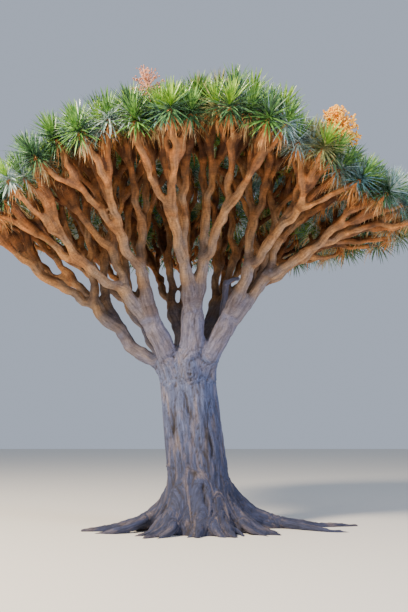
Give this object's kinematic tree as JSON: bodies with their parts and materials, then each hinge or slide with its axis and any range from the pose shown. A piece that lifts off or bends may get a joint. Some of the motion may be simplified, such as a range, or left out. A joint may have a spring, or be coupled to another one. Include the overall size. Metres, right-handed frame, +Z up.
{
  "type": "dragon blood tree",
  "caption": "Dragon blood tree: stout leaning trunk with surface roots, boughs that fork again and again, and a low umbrella crown of stiff sword-leaf rosettes.",
  "frame": {"origin": "middle of the flat cut under the trunk, at ground level", "axes": "+Z up out of the ground; -Y is the side that faces the viewer, +X is to the viewer's right"},
  "size_m": [8.2824, 6.7817, 7.0637],
  "materials": {
    "trunk_bark": "rough grey bark in flaking plates",
    "limb_bark": "smooth tan to orange-brown bark, ringed with leaf scars",
    "sword_leaves": "waxy grey-green leaves, satin"
  },
  "bodies": {
    "root": {"bough_east": "limb_bark", "bough_north": "limb_bark", "bough_northeast": "limb_bark", "bough_northwest": "limb_bark", "bough_south": "limb_bark", "bough_southeast": "limb_bark", "bough_southwest": "limb_bark", "bough_west": "limb_bark", "foliage_east_1_1": "sword_leaves", "foliage_east_1_2": "sword_leaves", "foliage_east_2_1": "sword_leaves", "foliage_east_2_2": "sword_leaves", "foliage_north_1_1": "sword_leaves", "foliage_north_1_2": "sword_leaves", "foliage_north_2_1": "sword_leaves", "foliage_north_2_2": "sword_leaves", "foliage_northeast_1_1": "sword_leaves", "foliage_northeast_1_2": "sword_leaves", "foliage_northeast_2_1": "sword_leaves", "foliage_northeast_2_2": "sword_leaves", "foliage_northwest_1_1": "sword_leaves", "foliage_northwest_1_2": "sword_leaves", "foliage_northwest_2_1": "sword_leaves", "foliage_northwest_2_2": "sword_leaves", "foliage_south_1_1": "sword_leaves", "foliage_south_1_2": "sword_leaves", "foliage_south_2_1": "sword_leaves", "foliage_south_2_2": "sword_leaves", "foliage_southeast_1_1": "sword_leaves", "foliage_southeast_1_2": "sword_leaves", "foliage_southeast_2_1": "sword_leaves", "foliage_southeast_2_2": "sword_leaves", "foliage_southwest_1_1": "sword_leaves", "foliage_southwest_1_2": "sword_leaves", "foliage_southwest_2_1": "sword_leaves", "foliage_southwest_2_2": "sword_leaves", "foliage_west_1_1": "sword_leaves", "foliage_west_1_2": "sword_leaves", "foliage_west_2_1": "sword_leaves", "foliage_west_2_2": "sword_leaves", "limb_east_1": "limb_bark", "limb_east_2": "limb_bark", "limb_north_1": "limb_bark", "limb_north_2": "limb_bark", "limb_northeast_1": "limb_bark", "limb_northeast_2": "limb_bark", "limb_northwest_1": "limb_bark", "limb_northwest_2": "limb_bark", "limb_south_1": "limb_bark", "limb_south_2": "limb_bark", "limb_southeast_1": "limb_bark", "limb_southeast_2": "limb_bark", "limb_southwest_1": "limb_bark", "limb_southwest_2": "limb_bark", "limb_west_1": "limb_bark", "limb_west_2": "limb_bark", "trunk": "trunk_bark"}
  },
  "joints": []
}
